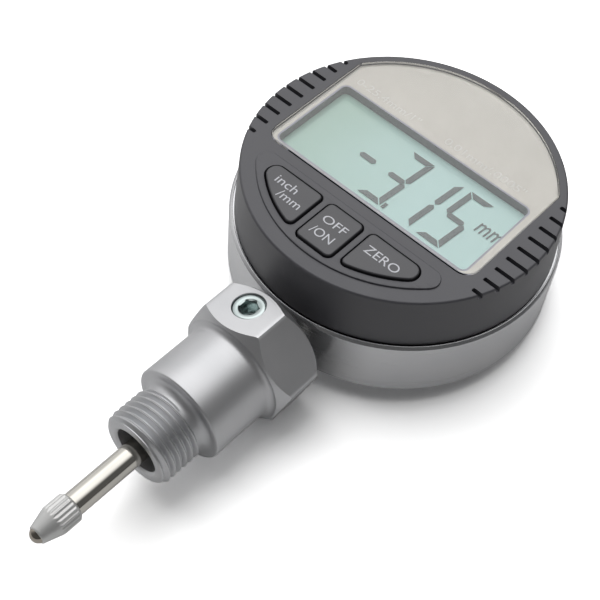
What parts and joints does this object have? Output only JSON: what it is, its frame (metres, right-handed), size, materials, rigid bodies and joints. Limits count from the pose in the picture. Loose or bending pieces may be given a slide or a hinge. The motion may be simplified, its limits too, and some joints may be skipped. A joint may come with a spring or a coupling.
{
  "type": "digital indicator",
  "caption": "Round digital gauge with a turning display head, push buttons, a sliding spindle with a ball contact, and a screw-in adapter with a hexagon and a threaded nose.",
  "frame": {"origin": "centre of the case's flat back", "axes": "+Z the way the display faces, +Y up on the display and away from the contact ball, +X to the display's right; the spindle axis is parallel to Y, 6.2 mm above the back"},
  "size_m": [0.06, 0.1155, 0.0292],
  "materials": {
    "case_metal": "satin, turned",
    "adapter_metal": "satin, turned, fine lines round the axis",
    "screw_steel": "bright zinc plate",
    "bright_steel": "ground and polished",
    "hard_metal": "lapped",
    "spring_steel": "rolled",
    "cell_steel": "nickel plate",
    "bronze": "bored",
    "felt": "felt",
    "head_plastic": "fine moulded texture",
    "button_plastic": "smooth satin",
    "white_plastic": "moulded",
    "carrier_plastic": "moulded",
    "scale": "laminate with fine copper bars",
    "face_print": "clear sheet, printed silver from behind",
    "display": "polished glass, grey-green",
    "strip_rubber": "soft",
    "mat_rubber": "soft",
    "board": "green solder mask",
    "cable_film": "amber film"
  },
  "bodies": {
    "case": {"rear_case": "case_metal", "back_cover": "case_metal", "back_cover_screws": "screw_steel", "stem": "bright_steel", "lower_bush": "bronze", "upper_bush": "bronze", "dust_seal": "felt", "guide_pin": "bright_steel", "return_ribbon": "spring_steel", "sensor_board": "board", "sensor_board_screws": "screw_steel", "battery": "cell_steel", "battery_holder": "white_plastic", "lower_battery_contact": "spring_steel", "upper_battery_contact": "spring_steel", "flat_cable": "cable_film", "friction_washer": "white_plastic", "retaining_ring": "spring_steel", "retaining_ring_screws": "screw_steel", "adapter": "adapter_metal", "adapter_set_screw": "screw_steel"},
    "spindle": {"spindle": "bright_steel", "scale_carrier": "carrier_plastic", "scale_strip": "scale", "contact_point": "bright_steel", "contact_ball": "hard_metal"},
    "display_head": {"head_housing": "head_plastic", "head_base": "head_plastic", "head_base_screws": "screw_steel", "face_lens": "face_print", "lcd_glass": "display", "upper_contact_strip": "strip_rubber", "lower_contact_strip": "strip_rubber", "main_board": "board", "key_mat": "mat_rubber"},
    "inch_mm_button": {"inch_mm_button": "button_plastic"},
    "on_off_button": {"on_off_button": "button_plastic"},
    "zero_button": {"zero_button": "button_plastic"}
  },
  "joints": [
    {"name": "spindle_slide", "type": "slide", "parent": "case", "child": "spindle", "axis": [0, 1, 0], "range_m": [0, 0.0254], "stiffness_N_per_m": 31, "springref_m": -0.032},
    {"name": "head_turn", "type": "hinge", "parent": "case", "child": "display_head", "pos_m": [0, 0, 0.0124], "axis": [0, 0, 1], "range_deg": [-165, 165]},
    {"name": "inch_mm_button_press", "type": "slide", "parent": "display_head", "child": "inch_mm_button", "axis": [0, 0, -1], "range_m": [0, 0.0004], "stiffness_N_per_m": 2000, "springref_m": -0.0003},
    {"name": "on_off_button_press", "type": "slide", "parent": "display_head", "child": "on_off_button", "axis": [0, 0, -1], "range_m": [0, 0.0004], "stiffness_N_per_m": 2000, "springref_m": -0.0003},
    {"name": "zero_button_press", "type": "slide", "parent": "display_head", "child": "zero_button", "axis": [0, 0, -1], "range_m": [0, 0.0004], "stiffness_N_per_m": 2000, "springref_m": -0.0003}
  ]
}
